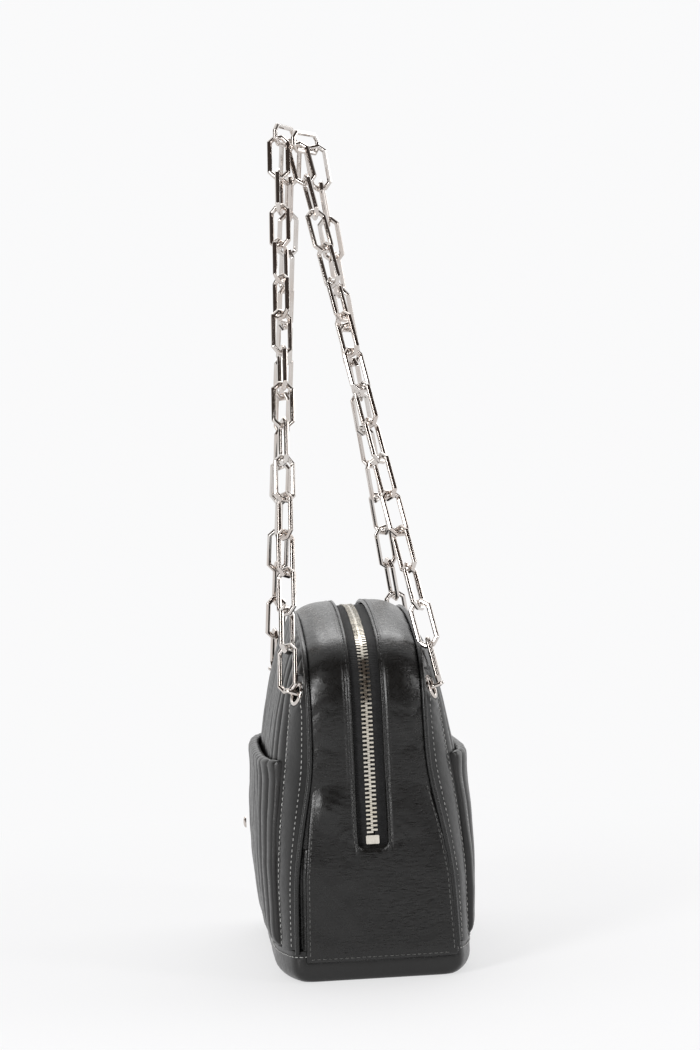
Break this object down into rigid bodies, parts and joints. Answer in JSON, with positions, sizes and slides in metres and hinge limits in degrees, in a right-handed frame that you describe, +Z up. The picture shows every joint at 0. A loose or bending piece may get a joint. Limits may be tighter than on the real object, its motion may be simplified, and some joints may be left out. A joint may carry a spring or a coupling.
{
  "type": "chain shoulder bag",
  "caption": "Small quilted leather shoulder bag with a metal zip over the top, open slip pockets front and back, and twin link-chain handles through eyelets.",
  "frame": {"origin": "centre of the flat underside, on the surface the bag stands on", "axes": "+Z up; +X along the bag, towards the end where the zip's bottom stop is; -Y is the front, the side with the pocket stud"},
  "size_m": [0.2665, 0.1403, 0.5113],
  "materials": {
    "black_leather": "satin, fine grain",
    "zip_tape": "matt woven",
    "lining_cloth": "matt woven",
    "base_board": "matt",
    "zip_metal": "polished, pale champagne",
    "polished_nickel": "polished nickel silver"
  },
  "bodies": {
    "bag": {"base_panel": "black_leather", "base_board": "base_board", "lining": "lining_cloth", "front_panel": "black_leather", "back_panel": "black_leather", "front_border": "black_leather", "back_border": "black_leather", "front_piping": "black_leather", "back_piping": "black_leather", "front_pocket": "black_leather", "back_pocket": "black_leather", "pocket_stud": "polished_nickel", "near_gusset": "black_leather", "far_gusset": "black_leather", "near_gusset_patch": "black_leather", "far_gusset_patch": "black_leather", "zip_strip_front": "black_leather", "zip_strip_back": "black_leather", "zip_tape_front": "zip_tape", "zip_tape_back": "zip_tape", "zip_teeth_front": "zip_metal", "zip_teeth_back": "zip_metal", "zip_teeth_front_end": "zip_metal", "zip_teeth_back_end": "zip_metal", "zip_bottom_stop": "zip_metal", "zip_top_stops": "zip_metal", "eyelet_front_near": "polished_nickel", "eyelet_front_far": "polished_nickel", "eyelet_back_near": "polished_nickel", "eyelet_back_far": "polished_nickel", "eyelet_washers": "polished_nickel", "anchor_ring_front_near": "polished_nickel", "anchor_ring_front_far": "polished_nickel", "anchor_ring_back_near": "polished_nickel", "anchor_ring_back_far": "polished_nickel", "anchor_d_rings": "polished_nickel", "anchor_tab_front_near": "black_leather", "anchor_tab_front_far": "black_leather", "anchor_tab_back_near": "black_leather", "anchor_tab_back_far": "black_leather"},
    "zip_slider": {"zip_slider": "zip_metal"},
    "zip_pull": {"zip_pull": "zip_metal"},
    "front_handle_low": {"front_chain_near_low": "polished_nickel", "front_chain_far_low": "polished_nickel"},
    "front_handle_mid": {"front_chain_near_mid": "polished_nickel", "front_chain_far_mid": "polished_nickel"},
    "front_handle_high": {"front_chain_near_high": "polished_nickel", "front_chain_far_high": "polished_nickel", "front_chain_top": "polished_nickel"},
    "back_handle_low": {"back_chain_near_low": "polished_nickel", "back_chain_far_low": "polished_nickel"},
    "back_handle_mid": {"back_chain_near_mid": "polished_nickel", "back_chain_far_mid": "polished_nickel"},
    "back_handle_high": {"back_chain_near_high": "polished_nickel", "back_chain_far_high": "polished_nickel", "back_chain_top": "polished_nickel"}
  },
  "joints": [
    {"name": "zip_slide", "type": "slide", "parent": "bag", "child": "zip_slider", "axis": [0, 0, 1], "range_m": [0, 0.055], "deforming": ["zip_teeth_front_end", "zip_teeth_back_end"]},
    {"name": "pull_hinge", "type": "hinge", "parent": "zip_slider", "child": "zip_pull", "pos_m": [-0.1332, 0, 0.0885], "axis": [0, 1, 0], "range_deg": [0, 150]},
    {"name": "front_handle_swing", "type": "hinge", "parent": "bag", "child": "front_handle_low", "pos_m": [0, -0.04703, 0.166], "axis": [1, 0, 0], "range_deg": [0, 115]},
    {"name": "front_handle_fold_low", "type": "hinge", "parent": "front_handle_low", "child": "front_handle_mid", "pos_m": [0, -0.04082, 0.27852], "axis": [1, 0, 0], "range_deg": [0, 30]},
    {"name": "front_handle_fold_high", "type": "hinge", "parent": "front_handle_mid", "child": "front_handle_high", "pos_m": [0, -0.03471, 0.38912], "axis": [1, 0, 0], "range_deg": [0, 30]},
    {"name": "back_handle_swing", "type": "hinge", "parent": "bag", "child": "back_handle_low", "pos_m": [0, 0.04703, 0.166], "axis": [-1, 0, 0], "range_deg": [0, 115]},
    {"name": "back_handle_fold_low", "type": "hinge", "parent": "back_handle_low", "child": "back_handle_mid", "pos_m": [0, 0.02741, 0.27697], "axis": [-1, 0, 0], "range_deg": [0, 30]},
    {"name": "back_handle_fold_high", "type": "hinge", "parent": "back_handle_mid", "child": "back_handle_high", "pos_m": [0, 0.00812, 0.38605], "axis": [-1, 0, 0], "range_deg": [0, 30]}
  ]
}
